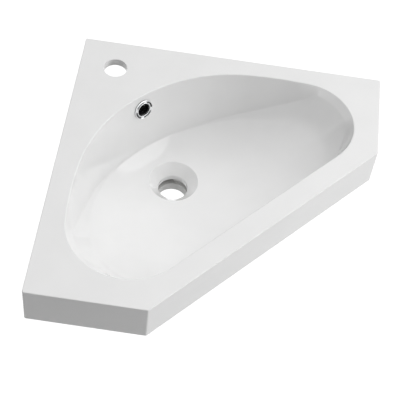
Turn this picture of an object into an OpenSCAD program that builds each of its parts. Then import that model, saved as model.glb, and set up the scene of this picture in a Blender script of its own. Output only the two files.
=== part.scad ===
// Wall-hung corner basin with one tap hole, an overflow and an open outlet.
// The origin is the corner of the room at deck level, +Z is up, the right-hand
// wall runs along +X and the left-hand wall along -Y.

/* [Slab] */
// Length of the side that lies along the right-hand wall
right_side = 455; // [440:1:475]
// Length of the side that lies along the left-hand wall
left_side = 465; // [450:1:485]
// Length of the short end face at the right
right_end = 145; // [135:1:155]
// Length of the short end face at the left
left_end = 165; // [155:1:175]
// Height of the apron on the front and the two ends
apron_h = 65; // [58:1:80]
// Thickness of the deck
deck_t = 12.4; // [10:0.1:15]
// Thickness of the apron on the front and the two ends
apron_t = 12; // [9:0.5:14]
// Thickness of the two rails that lie against the walls
rail_t = 12; // [10:0.5:14]
// Height of the two rails, deck included
rail_h = 36; // [30:1:40]

/* [Bowl outline] */
// Distance from the room's corner to the back of the bowl, along the diagonal
bowl_back = 143.5; // [138:0.5:150]
// Radius of the back of the bowl
back_radius = 241; // [225:1:255]
// Radius of the two sides that face the walls
side_radius = 537; // [480:5:600]
// Least distance from a wall to the edge of the bowl
side_gap = 30; // [28:0.5:34]
// Extra turn of each side, in degrees, before its corner arc begins
side_overrun = 0.9; // [0:0.1:1.5]
// How far the bowl sits towards the right-hand wall
bowl_shift = 3.1; // [0:0.1:5]
// Width of the deck in front of the bowl
front_gap = 33; // [31:0.5:38]
// Radius of the rounded edge between deck and bowl
edge_round = 2; // [1:0.25:3]

/* [Bowl depth] */
// Depth of the bowl at the outlet
bowl_depth = 111; // [105:1:118]
// Height of the foot of the back wall above the floor at the outlet
foot_rise = 15; // [12:0.5:18]
// Thickness of the bowl's shell
shell_t = 10; // [8:0.5:11]
// Distance that the foot of the wall stands in at deck level
foot_inset = 8; // [6:0.5:10]
// Depth of the foot of the wall at the two ends of the bowl
foot_end = 9; // [7:0.5:11]
// Distance from each end of the bowl at which the foot of the wall stops rising
foot_stop = 8.7; // [7:0.1:11]

/* [Outlet] */
// Distance from the room's corner to the outlet, along the diagonal
drain_reach = 232; // [227:0.5:237]
// Radius of the outlet bore
drain_r = 22.5; // [21.5:0.25:23.5]
// Radius of the conical seat where it meets the floor
seat_r = 37.5; // [35:0.5:39]
// Depth of the conical seat
seat_h = 16; // [13:0.5:18]
// Length of the bore below the seat, as far as the overflow chamber
lip_h = 8.4; // [7:0.2:10]
// Radius of the boss round the outlet
boss_r = 45; // [43:0.5:48]

/* [Overflow] */
// Depth of the overflow's centre below the deck
overflow_drop = 24.5; // [23:0.5:27]
// Radius of the hole through the bowl's wall
overflow_r = 13; // [12.6:0.1:13.4]
// Radius of the flange of the overflow ring
flange_r = 15.8; // [15.6:0.1:17]
// Thickness of the flange of the overflow ring
flange_t = 1.8; // [1.4:0.1:2.4]
// Thickness of the seal under the flange
seal_t = 0.8; // [0.6:0.1:1.2]
// Radius of the opening in the middle of the ring
throat_r = 10.4; // [10:0.1:10.8]
// Thickness of the ring's barrel
barrel_t = 1.1; // [0.9:0.1:1.3]
// Length of the ring's barrel behind the flange
barrel_h = 7; // [5:0.5:9]
// Length of the sleeve inside the barrel
sleeve_h = 17; // [15:0.5:19]
// Thickness of the sleeve
sleeve_t = 0.8; // [0.6:0.1:1]
// Clear space between pieces that fit into each other
fit_gap = 0.3; // [0.2:0.05:0.4]

/* [Overflow duct] */
// Extra thickness of the casting where the duct is bonded to it
spine_extra = 4; // [3:0.5:6]
// Width of the duct
duct_w = 46; // [42:1:50]
// Depth of the duct behind the casting
duct_d = 15; // [13:0.5:17]
// Wall thickness of the duct
duct_t = 3.5; // [3:0.25:4]
// Radius of the collar round the outlet
collar_r = 36; // [34:0.5:38]
// Radius of the chamber inside the collar
chamber_r = 27.5; // [26:0.5:29]
// Height of the chamber inside the collar
chamber_h = 10.2; // [9:0.2:12]
// Length of the bore below the chamber
throat_h = 15.4; // [13:0.2:18]

/* [Tap hole and wall fixings] */
// Radius of the tap hole
tap_r = 17.5; // [16:0.25:18]
// Distance from the left-hand wall to the tap hole
tap_x = 54; // [50:0.5:56]
// Distance from the right-hand wall to the tap hole
tap_y = 53; // [50:0.5:56]
// Radius of the two fixing holes
fixing_r = 7; // [5:0.25:8]
// Distance from the room's corner to each fixing hole
fixing_reach = 130; // [124:1:136]
// Depth of the fixing holes below the deck
fixing_drop = 40; // [36:0.5:44]
// Width of the block that each fixing hole goes through
block_w = 50; // [40:1:60]
// Thickness of the block that each fixing hole goes through
block_t = 26; // [22:0.5:30]

/* [Hidden] */

// Overrun of the cuts
cut = 1;
// Depth of the steep wall at the back and the front
wall_depth = bowl_depth - foot_rise;
// Slope of the bowl's wall: inward length for each unit of depth below foot_inset
wall_slope_share = 0.125;
// Powers that shape the foot of the wall along the bowl and the floor across it
foot_reach_share = 2.5;
foot_power_share = 0.88;
floor_power_share = 1.9;
// Size of the flat disc under the seat, as a share of the seat's radius
disc_share = 0.9;
// Downward part of the shell's thickness at the foot of the wall, and the outward part under the floor
foot_down_share = 0.6;
floor_out_share = 0.5;

// The slab's front edge, in room coordinates and in the bowl's diagonal ones
front_a = [right_side, -right_end];
front_b = [left_end, -left_side];
front_dir = (front_b - front_a) / norm(front_b - front_a);
front_in = [front_dir[1], -front_dir[0]];
front_tilt = -atan2(front_in[0] + front_in[1], -(front_in[0] - front_in[1]));
function diag_u(p) = (p[0] - p[1]) / sqrt(2);
function diag_v(p) = (p[0] + p[1]) / sqrt(2);
front_reach = diag_u(front_a) * cos(front_tilt) + diag_v(front_a) * sin(front_tilt);
function front_y(x, inset) = front_a[1] + (inset - (x - front_a[0]) * front_in[0]) / front_in[1];
function front_x(y, inset) = front_a[0] + (inset - (y - front_a[1]) * front_in[1]) / front_in[0];

// Plan of the slab, of the hollow under it between rails and apron, and of the room below the rails
slab_plan = [[0, 0], front_a - [0, front_a[1]], front_a, front_b, [0, front_b[1]]];
hollow_x = right_side - apron_t;
hollow_y = -(left_side - apron_t);
hollow_plan = [[rail_t, -rail_t], [hollow_x, -rail_t], [hollow_x, front_y(hollow_x, apron_t)],
    [front_x(hollow_y, apron_t), hollow_y], [rail_t, hollow_y]];
open_plan = [[-cut, cut], [hollow_x, cut], hollow_plan[2], hollow_plan[3], [-cut, hollow_y]];

// Headings at which the back arc meets a side arc, and a side arc meets a corner arc
side_turn = (sqrt(2) * (side_gap + side_radius) - back_radius - bowl_back) / (side_radius - back_radius);
back_angle = 45 - acos(side_turn / sqrt(2));
side_angle = 90 - back_angle + side_overrun;
bowl_front = front_reach - front_gap - bowl_shift * sin(front_tilt);
side_end_u = bowl_back + back_radius * (1 - cos(back_angle))
    + side_radius * (cos(back_angle) - cos(side_angle));
side_end_v = back_radius * sin(back_angle) + side_radius * (sin(side_angle) - sin(back_angle));

// Radius of a corner arc that touches the side arc and the front line; s is 1 or -1
function corner_r(s) = (bowl_front - side_end_u * cos(front_tilt) - s * side_end_v * sin(front_tilt))
    / (1 + cos(side_angle + s * front_tilt));
function corner_u(s) = side_end_u + corner_r(s) * cos(side_angle);
function corner_v(s) = side_end_v - corner_r(s) * sin(side_angle);
function end_v(s) = corner_v(s) + corner_r(s);

// A station on the edge of the bowl: place and inward direction, s is the side
back_steps = 8;
side_steps = 5;
corner_steps = 12;
front_steps = 10;
function station(u, v, f, s) = [u, s * v, cos(f), -s * sin(f), s];
function back_arc(s) = [for (k = [0:back_steps - 1]) let (f = back_angle * k / back_steps)
    station(bowl_back + back_radius * (1 - cos(f)), back_radius * sin(f), f, s)];
function side_arc(s) = [for (k = [0:side_steps - 1])
    let (f = back_angle + (side_angle - back_angle) * k / side_steps)
    station(side_end_u - side_radius * (cos(f) - cos(side_angle)),
        side_end_v - side_radius * (sin(side_angle) - sin(f)), f, s)];
function corner_arc(s) = [for (k = [0:corner_steps])
    let (f = side_angle + (180 - s * front_tilt - side_angle) * k / corner_steps)
    station(corner_u(s) - corner_r(s) * cos(f), corner_v(s) + corner_r(s) * sin(f), f, s)];
function half_edge(s) = concat(back_arc(s), side_arc(s), corner_arc(s));
right_half = half_edge(1);
left_half = half_edge(-1);
right_last = right_half[len(right_half) - 1];
left_last = left_half[len(left_half) - 1];
front_line = [for (k = [1:front_steps - 1]) let (w = k / front_steps)
    [for (i = [0:3]) right_last[i] * (1 - w) + left_last[i] * w]];
edge = concat(right_half,
    [for (p = front_line) [p[0], p[1], p[2], p[3], sign(p[1])]],
    [for (k = [len(left_half) - 1:-1:1]) left_half[k]]);

// Depth and place of the foot of the wall at a station
function along(p) = min(1, abs(p[1]) / (end_v(p[4] < 0 ? -1 : 1) - foot_stop));
function foot_z(p) = foot_end
    + (wall_depth - foot_end) * pow(1 - pow(along(p), foot_reach_share), foot_power_share);
function foot_in(p) = foot_inset + wall_slope_share * foot_z(p);
function edge_point(p, inset, z) = [p[0] + p[2] * inset, p[1] + p[3] * inset + bowl_shift, -z];
function flat_dist(p) = norm([p[0] - drain_reach, p[1]]);

// A point of the floor, w is 0 at the outlet and 1 at the foot of the wall
function floor_point(foot, w, disc_r) =
    let (r = flat_dist(foot), q = disc_r / r + (1 - disc_r / r) * w)
    [drain_reach + (foot[0] - drain_reach) * q, foot[1] * q,
        -(bowl_depth - (bowl_depth + foot[2]) * pow(w, floor_power_share))];

// Rings of the bowl's inner face, from the outlet up to above the deck
floor_shares = [0, 0.17, 0.33, 0.5, 0.66, 0.82, 1];
wall_shares = [0.34, 0.67];
round_angles = [90, 50, 20];
function inner_rings() = concat(
    [for (w = floor_shares) [for (p = edge)
        floor_point(edge_point(p, foot_in(p), foot_z(p)), w, seat_r * disc_share)]],
    [for (w = wall_shares) [for (p = edge)
        edge_point(p, foot_in(p) * (1 - w), foot_z(p) * (1 - w) + edge_round * w)]],
    [for (a = round_angles) [for (p = edge)
        edge_point(p, -edge_round * (1 - sin(a)), edge_round * (1 - cos(a)))]],
    [[for (p = edge) edge_point(p, -edge_round - cut, -cut)]]);

// Rings of the shell's outer face: each inner ring is moved out and down by its shares
shell_floor_shares = [0, 0.33, 0.66, 0.88];
function pushed(q, p, out_share, down_share) =
    [q[0] - p[2] * shell_t * out_share, q[1] - p[3] * shell_t * out_share, q[2] - shell_t * down_share];
function outer_rings() = concat(
    [for (w = shell_floor_shares) [for (p = edge)
        pushed(floor_point(edge_point(p, foot_in(p), foot_z(p)), w, seat_r * disc_share), p,
            w * floor_out_share, 1)]],
    [[for (p = edge) pushed(edge_point(p, foot_in(p), foot_z(p)), p, 1, foot_down_share)]],
    [[for (p = edge) pushed(edge_point(p, foot_in(p) / 2, foot_z(p) / 2 + deck_t / 2), p, 1, 0)]],
    [[for (p = edge) pushed(edge_point(p, 0, deck_t / 2), p, 1, 0)]]);

// Closed solid through rings that have equally many points, lowest ring first
module loft(rings) {
    n = len(rings[0]);
    last = (len(rings) - 1) * n;
    sides = [for (j = [0:len(rings) - 2], i = [0:n - 1]) let (k = (i + 1) % n)
        each [[j * n + i, j * n + k, (j + 1) * n + k], [j * n + i, (j + 1) * n + k, (j + 1) * n + i]]];
    polyhedron(points = [for (r = rings) each r],
        faces = concat(sides, [[for (i = [n - 1:-1:0]) i]], [[for (i = [0:n - 1]) last + i]]));
}

// Local frames: the diagonal of the room's corner, the outlet and the overflow
wall_lean = atan((foot_inset + wall_slope_share * wall_depth) / wall_depth);
overflow_reach = bowl_back + overflow_drop * tan(wall_lean);
module on_diagonal() { rotate([0, 0, -45]) children(); }
module at_outlet(z) { on_diagonal() translate([drain_reach, 0, -z]) children(); }
module at_overflow() {
    on_diagonal() translate([overflow_reach, 0, -overflow_drop]) rotate([0, 90 - wall_lean, 0]) children();
}

// The seat of the duct on the casting, as points (along the diagonal, height)
spine_t = shell_t + spine_extra;
seat_z = bowl_depth + seat_h + lip_h;
bend_z = wall_depth + shell_t;
spine_back = overflow_reach - spine_t / cos(wall_lean);
function spine_u(z) = spine_back + (z - overflow_drop) * tan(wall_lean);
seat_line = [[spine_u(deck_t), -deck_t], [spine_u(bend_z), -bend_z],
    [drain_reach - boss_r, -seat_z], [drain_reach, -seat_z]];
// Unit normals of a run of points, and the points moved out by a distance with mitred corners
function run_normal(a, b) = let (d = (b - a) / norm(b - a)) [d[1], -d[0]];
function moved(run, i, d) = let (
    n1 = run_normal(run[max(i - 1, 0)], run[max(i, 1)]),
    n2 = run_normal(run[min(i, len(run) - 2)], run[min(i + 1, len(run) - 1)]))
    run[i] + (n1 + n2) * d / (1 + n1 * n2);
function moved_run(run, d) = [for (i = [0:len(run) - 1]) moved(run, i, d)];
function reversed(a) = [for (i = [len(a) - 1:-1:0]) a[i]];

// Solid with the given outline in the upright plane of the diagonal, width w
module upright(outline, w) {
    on_diagonal() rotate([90, 0, 0]) linear_extrude(w, center = true) polygon(outline);
}

// Deck with apron and wall rails, and a full-height block at each fixing hole
module slab() {
    difference() {
        translate([0, 0, -apron_h]) linear_extrude(apron_h) polygon(slab_plan);
        translate([0, 0, -apron_h - cut]) linear_extrude(apron_h + cut - deck_t) polygon(hollow_plan);
        translate([0, 0, -apron_h - cut]) linear_extrude(apron_h + cut - rail_h) polygon(open_plan);
    }
    block_h = apron_h - deck_t / 2;
    translate([fixing_reach - block_w / 2, -block_t, -apron_h]) cube([block_w, block_t, block_h]);
    translate([0, -fixing_reach - block_w / 2, -apron_h]) cube([block_t, block_w, block_h]);
}

// Drills one fixing hole through each block
module fixing_holes() {
    translate([fixing_reach, cut, -fixing_drop]) rotate([90, 0, 0])
        cylinder(h = block_t + 2 * cut, r = fixing_r, $fn = 64);
    translate([-cut, -fixing_reach, -fixing_drop]) rotate([0, 90, 0])
        cylinder(h = block_t + 2 * cut, r = fixing_r, $fn = 64);
}

// Casting: deck, apron, wall rails, bowl and outlet boss in one piece
module basin_body() {
    color("white") difference() {
        union() {
            slab();
            on_diagonal() loft(outer_rings());
            spine();
            at_outlet(seat_z) cylinder(h = seat_h + lip_h, r = boss_r, $fn = 128);
        }
        on_diagonal() loft(inner_rings());
        seat_cone();
        at_outlet(seat_z + cut) cylinder(h = seat_z, r = drain_r, $fn = 96);
        at_overflow() translate([0, 0, -2 * spine_t]) cylinder(h = 3 * spine_t, r = overflow_r, $fn = 96);
        at_overflow() cylinder(h = spine_t, r = flange_r + fit_gap, $fn = 96);
        translate([tap_x, -tap_y, -deck_t - cut]) cylinder(h = deck_t + 2 * cut, r = tap_r, $fn = 96);
        fixing_holes();
    }
}

// Thick strip of the casting behind the overflow, which carries the duct
module spine() {
    top = deck_t / 2;
    back = concat([[spine_u(top), -top]], [for (i = [1:3]) seat_line[i]]);
    inner = [[drain_reach, -bowl_depth], [overflow_reach + spine_t, -wall_depth], [overflow_reach, -top]];
    upright(concat(back, inner), duct_w);
}

// Conical seat of the waste, cut a little past the floor
module seat_cone() {
    slope = (seat_r - drain_r) / seat_h;
    at_outlet(bowl_depth + seat_h)
        cylinder(h = seat_h + cut, r1 = drain_r, r2 = seat_r + cut * slope, $fn = 128);
}

// Moulded shell bonded to the back of the casting: overflow channel and outlet collar
module overflow_duct() {
    top = seat_line[0] - [0, fit_gap];
    run = concat([top], [for (i = [1:3]) seat_line[i]]);
    inner = concat([top - [0, duct_t]], [for (i = [1:3]) seat_line[i]]);
    color("gainsboro") difference() {
        union() {
            upright(concat(run, reversed(moved_run(run, duct_d))), duct_w);
            at_outlet(seat_z + chamber_h + throat_h)
                cylinder(h = chamber_h + throat_h, r = collar_r, $fn = 128);
        }
        upright(concat(moved_run(inner, -cut), reversed(moved_run(inner, duct_d - duct_t))),
            duct_w - 2 * duct_t);
        at_outlet(seat_z + chamber_h) cylinder(h = chamber_h + cut, r = chamber_r, $fn = 128);
        at_outlet(seat_z + chamber_h + throat_h + cut)
            cylinder(h = throat_h + 2 * cut, r = drain_r, $fn = 96);
    }
}

// Turn of the first window of the ring, angle that each window spans, and the part of the
// flange's width that is left as a rim outside the windows
window_turn = 26;
window_angle = 64;
rim_share = 0.3;
// Chrome ring: flange with four curved windows, and a barrel behind it
module overflow_ring() {
    barrel_r = throat_r + barrel_t;
    window_in = barrel_r + fit_gap;
    window_out = flange_r - (flange_r - barrel_r) * rim_share;
    color("silver") at_overflow() translate([0, 0, seal_t]) difference() {
        union() {
            cylinder(h = flange_t, r = flange_r, $fn = 96);
            translate([0, 0, -barrel_h]) cylinder(h = barrel_h + flange_t / 2, r = barrel_r, $fn = 96);
        }
        translate([0, 0, -barrel_h - cut])
            cylinder(h = barrel_h + flange_t + 2 * cut, r = throat_r, $fn = 96);
        for (k = [0:3]) rotate([0, 0, 180 + 90 * k + window_turn - window_angle / 2])
            translate([0, 0, -cut]) rotate_extrude(angle = window_angle, $fn = 96)
                translate([window_in, 0]) square([window_out - window_in, flange_t + 2 * cut]);
    }
}

// Number of soft ribs on the sleeve
rib_count = 3;
// Black sleeve inside the barrel, with ribs that grip the hole behind it
module overflow_sleeve() {
    outer = throat_r - fit_gap / 3;
    behind = sleeve_h - barrel_h - fit_gap;
    pitch = behind / rib_count;
    color("black") at_overflow() difference() {
        union() {
            translate([0, 0, -sleeve_h + seal_t]) cylinder(h = sleeve_h, r = outer, $fn = 96);
            for (k = [0:rib_count - 1]) translate([0, 0, seal_t - sleeve_h + k * pitch])
                cylinder(h = pitch / 2, r = overflow_r - fit_gap, $fn = 96);
        }
        translate([0, 0, -sleeve_h - cut]) cylinder(h = sleeve_h + 3 * cut, r = outer - sleeve_t, $fn = 96);
    }
}

// Soft washer between the flange and the bowl's wall
module overflow_seal() {
    inner = overflow_r + fit_gap;
    color("dimgray") at_overflow() difference() {
        cylinder(h = seal_t, r = flange_r - fit_gap, $fn = 96);
        translate([0, 0, -cut]) cylinder(h = seal_t + 2 * cut, r = inner, $fn = 96);
    }
}

basin_body();
overflow_duct();
overflow_ring();
overflow_sleeve();
overflow_seal();
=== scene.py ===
import math

import bmesh
import bpy
import numpy as np
from bpy.props import FloatProperty, FloatVectorProperty, IntProperty, PointerProperty
from bpy.types import Operator, Panel, PropertyGroup
from mathutils import Matrix, Vector


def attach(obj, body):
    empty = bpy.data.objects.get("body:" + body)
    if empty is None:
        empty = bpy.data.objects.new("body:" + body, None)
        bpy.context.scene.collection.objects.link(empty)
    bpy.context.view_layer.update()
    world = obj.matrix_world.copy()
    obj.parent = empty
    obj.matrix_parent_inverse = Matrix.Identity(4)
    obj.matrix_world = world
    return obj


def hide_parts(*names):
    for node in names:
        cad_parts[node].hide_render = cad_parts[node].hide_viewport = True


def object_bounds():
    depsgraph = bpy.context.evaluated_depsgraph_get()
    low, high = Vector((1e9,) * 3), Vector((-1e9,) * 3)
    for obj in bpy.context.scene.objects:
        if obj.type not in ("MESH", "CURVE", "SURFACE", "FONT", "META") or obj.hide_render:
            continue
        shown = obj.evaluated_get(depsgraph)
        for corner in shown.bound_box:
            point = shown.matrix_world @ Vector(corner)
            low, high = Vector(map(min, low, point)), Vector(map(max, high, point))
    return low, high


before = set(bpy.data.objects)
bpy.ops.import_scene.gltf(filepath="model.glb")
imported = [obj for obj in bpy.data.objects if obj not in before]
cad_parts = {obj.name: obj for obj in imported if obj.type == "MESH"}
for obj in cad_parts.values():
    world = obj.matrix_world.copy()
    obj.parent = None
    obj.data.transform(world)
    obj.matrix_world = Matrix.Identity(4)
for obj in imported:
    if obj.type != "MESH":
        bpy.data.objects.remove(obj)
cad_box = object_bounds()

bl_info = {
    "name": "Corner basin",
    "version": (1, 0, 0),
    "blender": (4, 5, 0),
    "location": "3D View > Sidebar > Basin",
    "description": "Builds a wall-hung corner basin with its overflow and outlet",
    "category": "Object",
}

OVER = 0.001          # how far a cutting solid runs past the surface that it cuts
FIT_GAP = 0.0003      # clear space between pieces that fit into each other
SAME_PLACE = 2e-6     # points of a finished mesh nearer than this are one
DIAGONAL = Matrix.Rotation(-math.pi / 4, 4, "Z")

OUTLET, FLOOR, WALL, RIM, COLUMN = range(5)    # the rules that place the rings of the bowl
RIM_END = math.radians(5)   # the rim's rounding stops this short of level, so that its cut is clean
TAP_EDGE_END = math.radians(8)                 # the same for the edge of the tap hole
END_POWER = 3.0       # how late along the bowl its steep ends set in
FOOT_PULL = 5.0       # how close to the wall the evened floor meets the true foot
STEEP_FROM = 0.002    # depth of the steep zone from which its slope counts in full
FLOOR_RINGS, FLOOR_CROWDING = 56, 1.7          # rings of the floor, closer towards the wall
WALL_RINGS, WALL_CROWDING = 28, 1.6            # rings of the wall, closer towards its foot

# camera place and its right, down and forward directions
CAMERA_AT = (0.2229, -1.2275, 1.2589)
CAMERA_AXES = ((0.9896, 0.1195, 0.0797), (0.1434, -0.7889, -0.5975), (-0.0085, 0.6028, -0.7979))
SOFT_LIGHTS = (("top_light", (0, 0, 1)), ("back_light", (0, 0.643, 0.766)),
               ("side_light", (-0.643, 0, 0.766)))
SOFT_LIGHT_POWER = 5        # how closely each soft light keeps to its direction
KEY_AT, KEY_SIZE = Vector((2.249, -0.2, 1.601)), 2.6
LOW_AT, LOW_SIZE = Vector((1.439, -1.005, 0.26)), 1.0
LAMP_TARGET = Vector((0.2, -0.2, 0))
FLOOR_HALF = 6.0            # half the width of the stage's floor
FLOOR_GREY = 0.45           # what the floor throws back on to the object
FLOOR_LIFT = 0.75           # what is added where the floor is seen, so that it looks white


# ---------------------------------------------------------------- sizes

def length(name, default, description):
    return FloatProperty(name=name, default=default, description=description,
                         unit="LENGTH", subtype="DISTANCE", precision=5)


def angle(name, degrees, description):
    return FloatProperty(name=name, default=math.radians(degrees), description=description,
                         unit="ROTATION", subtype="ANGLE")


def number(name, default, description):
    return FloatProperty(name=name, default=default, description=description)


def count(name, default, description):
    return IntProperty(name=name, default=default, description=description, min=1)


def colour(name, default, description):
    return FloatVectorProperty(name=name, default=default, description=description,
                               subtype="COLOR", size=3, min=0, max=1)


class SlabSizes(PropertyGroup):
    right_side: length("Right side", cad_box[1].x, "Length along the right-hand wall")
    left_side: length("Left side", -cad_box[0].y, "Length along the left-hand wall")
    right_end: length("Right end", 0.145, "Length of the short end face at the right")
    left_end: length("Left end", 0.165, "Length of the short end face at the left")
    apron_h: length("Apron height", 0.065, "Height of the front and end faces")
    deck_t: length("Deck thickness", 0.0124, "Thickness of the deck")
    apron_t: length("Apron thickness", 0.012, "Thickness of the apron")
    rail_t: length("Rail thickness", 0.012, "Thickness of the rails along the walls")
    rail_h: length("Rail height", 0.036, "Height of the rails along the walls")
    edge_r: length("Edge radius", 0.0012, "Rounding of the outer edges")
    corner_r: length("Corner radius", 0.0035, "Rounding of the upright corners")
    mould_r: length("Mould radius", 0.006, "Rounding of the corners under the deck")
    tap_r: length("Tap hole radius", 0.0175, "Radius of the tap hole")
    tap_x: length("Tap hole x", 0.054, "Distance of the tap hole from the left-hand wall")
    tap_y: length("Tap hole y", 0.053, "Distance of the tap hole from the right-hand wall")
    tap_edge_r: length("Tap hole edge", 0.0007, "Rounding of the tap hole's edge")
    fixing_r: length("Fixing radius", 0.007, "Radius of the wall fixing holes")
    fixing_reach: length("Fixing reach", 0.13, "Distance of the fixings from the corner")
    fixing_drop: length("Fixing drop", 0.04, "Depth of the fixing holes below the deck")
    block_w: length("Block width", 0.05, "Width of the block at each fixing hole")
    block_t: length("Block thickness", 0.026, "Thickness of the block at each fixing hole")


class BowlSizes(PropertyGroup):
    back: length("Back", 0.1435, "Distance from the corner to the back of the bowl")
    back_radius: length("Back radius", 0.241, "Radius of the back of the bowl")
    side_radius: length("Side radius", 0.537, "Radius of the sides that face the walls")
    side_gap: length("Side gap", 0.03, "Least distance from a wall to the bowl")
    side_overrun: angle("Side overrun", 0.9, "Extra turn of each side before its corner")
    shift: length("Shift", 0.0031, "How far the bowl sits towards the right-hand wall")
    front_gap: length("Front gap", 0.033, "Width of the deck in front of the bowl")
    rim_r: length("Rim radius", 0.002, "Rounding of the edge between deck and bowl")
    depth: length("Depth", 0.111, "Depth of the floor at the outlet")
    foot_rise: length("Foot rise", 0.015, "Rise of the floor from the outlet to the back wall")
    foot_inset: length("Foot inset", 0.008, "Inset of the foot of the wall at the ends")
    wall_slope: number("Wall slope", 0.125, "Inward length of the wall for each unit of depth")
    foot_end: length("Foot at the ends", 0.009, "Depth of the foot of the wall at the ends")
    foot_stop: length("Foot stop", 0.0087, "Distance from each end at which the foot stops rising")
    foot_reach: number("Foot reach", 2.5, "Power that holds the foot of the wall down")
    foot_power: number("Foot power", 0.88, "Power that lifts the foot of the wall at the ends")
    floor_power: number("Floor power", 1.9, "Power that shapes the floor")
    end_drop: length("End drop", 0.011, "Depth of the steep zone inside each end")
    end_slope: number("End slope", 1.15, "Drop of the steep zone for each unit of inward length")
    end_blend: length("End blend", 0.0045, "Softness of the fold between steep zone and floor")
    soft_steps: count("Soft steps", 160, "How far the floor evens out the shape of its edge")
    crease: length("Crease", 0.002, "Rounding of the crease at the foot of the wall")
    shell_t: length("Shell thickness", 0.01, "Thickness of the bowl's shell")


class OutletSizes(PropertyGroup):
    reach: length("Reach", 0.232, "Distance from the corner to the outlet")
    bore_r: length("Bore radius", 0.0225, "Radius of the outlet bore")
    seat_r: length("Seat radius", 0.0375, "Radius of the conical seat at the floor")
    seat_h: length("Seat height", 0.016, "Depth of the conical seat")
    lip_h: length("Lip height", 0.0084, "Length of the bore below the seat")
    boss_r: length("Boss radius", 0.045, "Radius of the boss round the outlet")
    edge_r: length("Edge radius", 0.0011, "Rounding of the seat's edges")


class OverflowSizes(PropertyGroup):
    drop: length("Drop", 0.0245, "Depth of the overflow's centre below the deck")
    hole_r: length("Hole radius", 0.013, "Radius of the hole through the wall")
    flange_r: length("Flange radius", 0.0158, "Radius of the ring's flange")
    flange_t: length("Flange thickness", 0.0018, "Thickness of the ring's flange")
    seal_t: length("Seal thickness", 0.0008, "Thickness of the seal under the flange")
    throat_r: length("Throat radius", 0.0104, "Radius of the opening in the ring")
    barrel_t: length("Barrel thickness", 0.0011, "Thickness of the ring's barrel")
    barrel_h: length("Barrel length", 0.007, "Length of the barrel behind the flange")
    sleeve_h: length("Sleeve length", 0.017, "Length of the sleeve inside the barrel")
    sleeve_t: length("Sleeve thickness", 0.0008, "Thickness of the sleeve")
    windows: count("Windows", 4, "Number of curved windows in the flange")
    window_turn: angle("Window turn", 26, "Turn of the first window")
    window_angle: angle("Window angle", 64, "Angle that each window spans")
    rim_share: number("Rim share", 0.3, "Part of the flange left outside the windows")
    ribs: count("Ribs", 3, "Number of soft ribs on the sleeve")


class DuctSizes(PropertyGroup):
    width: length("Width", 0.046, "Width of the overflow duct")
    depth: length("Depth", 0.015, "Depth of the duct behind the casting")
    wall: length("Wall", 0.0035, "Wall thickness of the duct")
    spine_extra: length("Spine extra", 0.004, "Extra thickness of the casting behind the duct")
    collar_r: length("Collar radius", 0.036, "Radius of the collar round the outlet")
    chamber_r: length("Chamber radius", 0.0275, "Radius of the chamber in the collar")
    chamber_h: length("Chamber height", 0.0102, "Height of the chamber in the collar")
    throat_h: length("Throat height", 0.0154, "Length of the bore below the chamber")
    edge_r: length("Edge radius", 0.0015, "Rounding of the duct's edges")


class Finishes(PropertyGroup):
    glaze: colour("Gelcoat", (0.9, 0.9, 0.898), "Colour of the glossy white surface")
    casting: colour("Raw casting", (0.74, 0.73, 0.71), "Colour of the unglazed underside")
    duct: colour("Duct", (0.8, 0.8, 0.79), "Colour of the overflow duct")
    chrome: colour("Chrome", (0.86, 0.87, 0.88), "Colour of the overflow ring")
    sleeve: colour("Sleeve", (0.012, 0.012, 0.013), "Colour of the sleeve")
    # near black: a real rubber seal whose edge under the flange is also painted shade, the thin shadow line
    # round the ring
    seal: colour("Seal", (0.02, 0.02, 0.02), "Colour of the seal")


class StageSizes(PropertyGroup):
    lens: FloatProperty(name="Lens", default=102.6, unit="CAMERA", description="Focal length")
    top_light: number("Top light", 0.81, "Strength of the soft light from above")
    back_light: number("Back light", 1.53, "Strength of the soft light over the right-hand wall")
    side_light: number("Side light", 0.26, "Strength of the soft light over the left-hand wall")
    key_power: number("Key power", 27.0, "Power of the large lamp at the right, in watts")
    low_power: number("Low power", 6.0, "Power of the low lamp in front, in watts")
    floor_drop: length("Floor", 0.85, "Distance from the deck down to the floor")


class BasinSettings(PropertyGroup):
    slab: PointerProperty(type=SlabSizes)
    bowl: PointerProperty(type=BowlSizes)
    outlet: PointerProperty(type=OutletSizes)
    overflow: PointerProperty(type=OverflowSizes)
    duct: PointerProperty(type=DuctSizes)
    finish: PointerProperty(type=Finishes)
    stage: PointerProperty(type=StageSizes)


# ---------------------------------------------------------------- node trees

class Field:
    """A number or vector in a node tree, with the usual signs of arithmetic."""

    def __init__(self, group, socket):
        self.group, self.socket = group, socket

    @property
    def is_vector(self):
        return self.socket.type == "VECTOR"

    def __add__(self, other): return combine(self.group, "ADD", self, other)
    def __radd__(self, other): return combine(self.group, "ADD", other, self)
    def __sub__(self, other): return combine(self.group, "SUBTRACT", self, other)
    def __rsub__(self, other): return combine(self.group, "SUBTRACT", other, self)
    def __truediv__(self, other): return combine(self.group, "DIVIDE", self, other)
    def __rtruediv__(self, other): return combine(self.group, "DIVIDE", other, self)
    def __pow__(self, other): return combine(self.group, "POWER", self, other)

    def __mul__(self, other):
        if self.is_vector and not getattr(other, "is_vector", False):
            return combine(self.group, "SCALE", self, other)
        if getattr(other, "is_vector", False) and not self.is_vector:
            return combine(self.group, "SCALE", other, self)
        return combine(self.group, "MULTIPLY", self, other)

    __rmul__ = __mul__


def feed(group, slot, value):
    if isinstance(value, Field):
        group.links.new(value.socket, slot)
    elif isinstance(value, bpy.types.NodeSocket):
        group.links.new(value, slot)
    else:
        slot.default_value = value


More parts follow.
